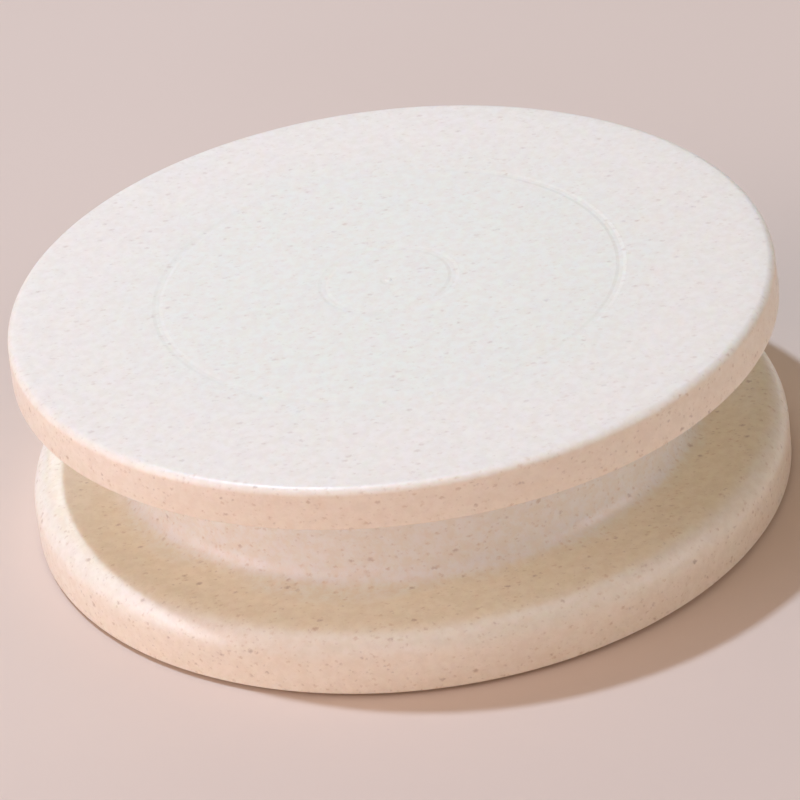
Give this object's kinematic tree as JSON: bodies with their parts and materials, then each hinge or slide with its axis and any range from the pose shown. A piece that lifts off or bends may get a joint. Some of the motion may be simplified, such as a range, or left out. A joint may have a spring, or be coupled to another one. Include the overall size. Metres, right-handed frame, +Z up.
{
  "type": "sculpting turntable",
  "caption": "Low round turntable: a flat speckled straw-plastic plate with shallow guide rings that spins on a ball bearing over a wide base with a central drum and rubber feet.",
  "frame": {"origin": "on the turning axis, in the plane that the feet stand on", "axes": "+Z up along the turning axis, +X through foot_1 and ball_01"},
  "size_m": [0.1818, 0.1818, 0.0544],
  "materials": {
    "plate_plastic": "satin, warm white with fine brown straw specks",
    "base_plastic": "satin, warm white with fine brown straw specks",
    "race_steel": "pressed and polished",
    "ball_steel": "polished",
    "cage_plastic": "moulded, natural",
    "spindle_steel": "ground",
    "bush_plastic": "moulded, natural",
    "washer_steel": "zinc plated",
    "screw_steel": "zinc plated",
    "foot_rubber": "matt"
  },
  "bodies": {
    "base": {"base_shell": "base_plastic", "lower_race": "race_steel", "hub_bush": "bush_plastic", "foot_1": "foot_rubber", "foot_2": "foot_rubber", "foot_3": "foot_rubber", "foot_4": "foot_rubber", "foot_5": "foot_rubber", "foot_6": "foot_rubber"},
    "wheel": {"turntable_plate": "plate_plastic", "upper_race": "race_steel", "spindle": "spindle_steel", "thrust_washer": "washer_steel", "retaining_washer": "washer_steel", "retaining_screw": "screw_steel"},
    "cage": {"ball_cage": "cage_plastic"},
    "ball_01": {"ball_01": "ball_steel"},
    "ball_02": {"ball_02": "ball_steel"},
    "ball_03": {"ball_03": "ball_steel"},
    "ball_04": {"ball_04": "ball_steel"},
    "ball_05": {"ball_05": "ball_steel"},
    "ball_06": {"ball_06": "ball_steel"},
    "ball_07": {"ball_07": "ball_steel"},
    "ball_08": {"ball_08": "ball_steel"},
    "ball_09": {"ball_09": "ball_steel"},
    "ball_10": {"ball_10": "ball_steel"},
    "ball_11": {"ball_11": "ball_steel"},
    "ball_12": {"ball_12": "ball_steel"}
  },
  "joints": [
    {"name": "wheel_spin", "type": "hinge", "parent": "base", "child": "wheel", "pos_m": [0, 0, 0.046], "axis": [0, 0, 1], "continuous": true},
    {"name": "cage_spin", "type": "hinge", "parent": "base", "child": "cage", "pos_m": [0, 0, 0.046], "axis": [0, 0, 1], "continuous": true},
    {"name": "ball_01_roll", "type": "hinge", "parent": "cage", "child": "ball_01", "pos_m": [0.045, 0, 0.046], "axis": [1, 0, 0], "continuous": true},
    {"name": "ball_02_roll", "type": "hinge", "parent": "cage", "child": "ball_02", "pos_m": [0.03897, 0.0225, 0.046], "axis": [0.866, 0.5, 0], "continuous": true},
    {"name": "ball_03_roll", "type": "hinge", "parent": "cage", "child": "ball_03", "pos_m": [0.0225, 0.03897, 0.046], "axis": [0.5, 0.866, 0], "continuous": true},
    {"name": "ball_04_roll", "type": "hinge", "parent": "cage", "child": "ball_04", "pos_m": [0, 0.045, 0.046], "axis": [0, 1, 0], "continuous": true},
    {"name": "ball_05_roll", "type": "hinge", "parent": "cage", "child": "ball_05", "pos_m": [-0.0225, 0.03897, 0.046], "axis": [-0.5, 0.866, 0], "continuous": true},
    {"name": "ball_06_roll", "type": "hinge", "parent": "cage", "child": "ball_06", "pos_m": [-0.03897, 0.0225, 0.046], "axis": [-0.866, 0.5, 0], "continuous": true},
    {"name": "ball_07_roll", "type": "hinge", "parent": "cage", "child": "ball_07", "pos_m": [-0.045, 0, 0.046], "axis": [-1, 0, 0], "continuous": true},
    {"name": "ball_08_roll", "type": "hinge", "parent": "cage", "child": "ball_08", "pos_m": [-0.03897, -0.0225, 0.046], "axis": [-0.866, -0.5, 0], "continuous": true},
    {"name": "ball_09_roll", "type": "hinge", "parent": "cage", "child": "ball_09", "pos_m": [-0.0225, -0.03897, 0.046], "axis": [-0.5, -0.866, 0], "continuous": true},
    {"name": "ball_10_roll", "type": "hinge", "parent": "cage", "child": "ball_10", "pos_m": [0, -0.045, 0.046], "axis": [0, -1, 0], "continuous": true},
    {"name": "ball_11_roll", "type": "hinge", "parent": "cage", "child": "ball_11", "pos_m": [0.0225, -0.03897, 0.046], "axis": [0.5, -0.866, 0], "continuous": true},
    {"name": "ball_12_roll", "type": "hinge", "parent": "cage", "child": "ball_12", "pos_m": [0.03897, -0.0225, 0.046], "axis": [0.866, -0.5, 0], "continuous": true}
  ],
  "couplings": [
    {"joint": "cage_spin", "follows": "wheel_spin", "ratio": 0.5},
    {"joint": "ball_01_roll", "follows": "wheel_spin", "ratio": -7.5},
    {"joint": "ball_02_roll", "follows": "wheel_spin", "ratio": -7.5},
    {"joint": "ball_03_roll", "follows": "wheel_spin", "ratio": -7.5},
    {"joint": "ball_04_roll", "follows": "wheel_spin", "ratio": -7.5},
    {"joint": "ball_05_roll", "follows": "wheel_spin", "ratio": -7.5},
    {"joint": "ball_06_roll", "follows": "wheel_spin", "ratio": -7.5},
    {"joint": "ball_07_roll", "follows": "wheel_spin", "ratio": -7.5},
    {"joint": "ball_08_roll", "follows": "wheel_spin", "ratio": -7.5},
    {"joint": "ball_09_roll", "follows": "wheel_spin", "ratio": -7.5},
    {"joint": "ball_10_roll", "follows": "wheel_spin", "ratio": -7.5},
    {"joint": "ball_11_roll", "follows": "wheel_spin", "ratio": -7.5},
    {"joint": "ball_12_roll", "follows": "wheel_spin", "ratio": -7.5}
  ]
}
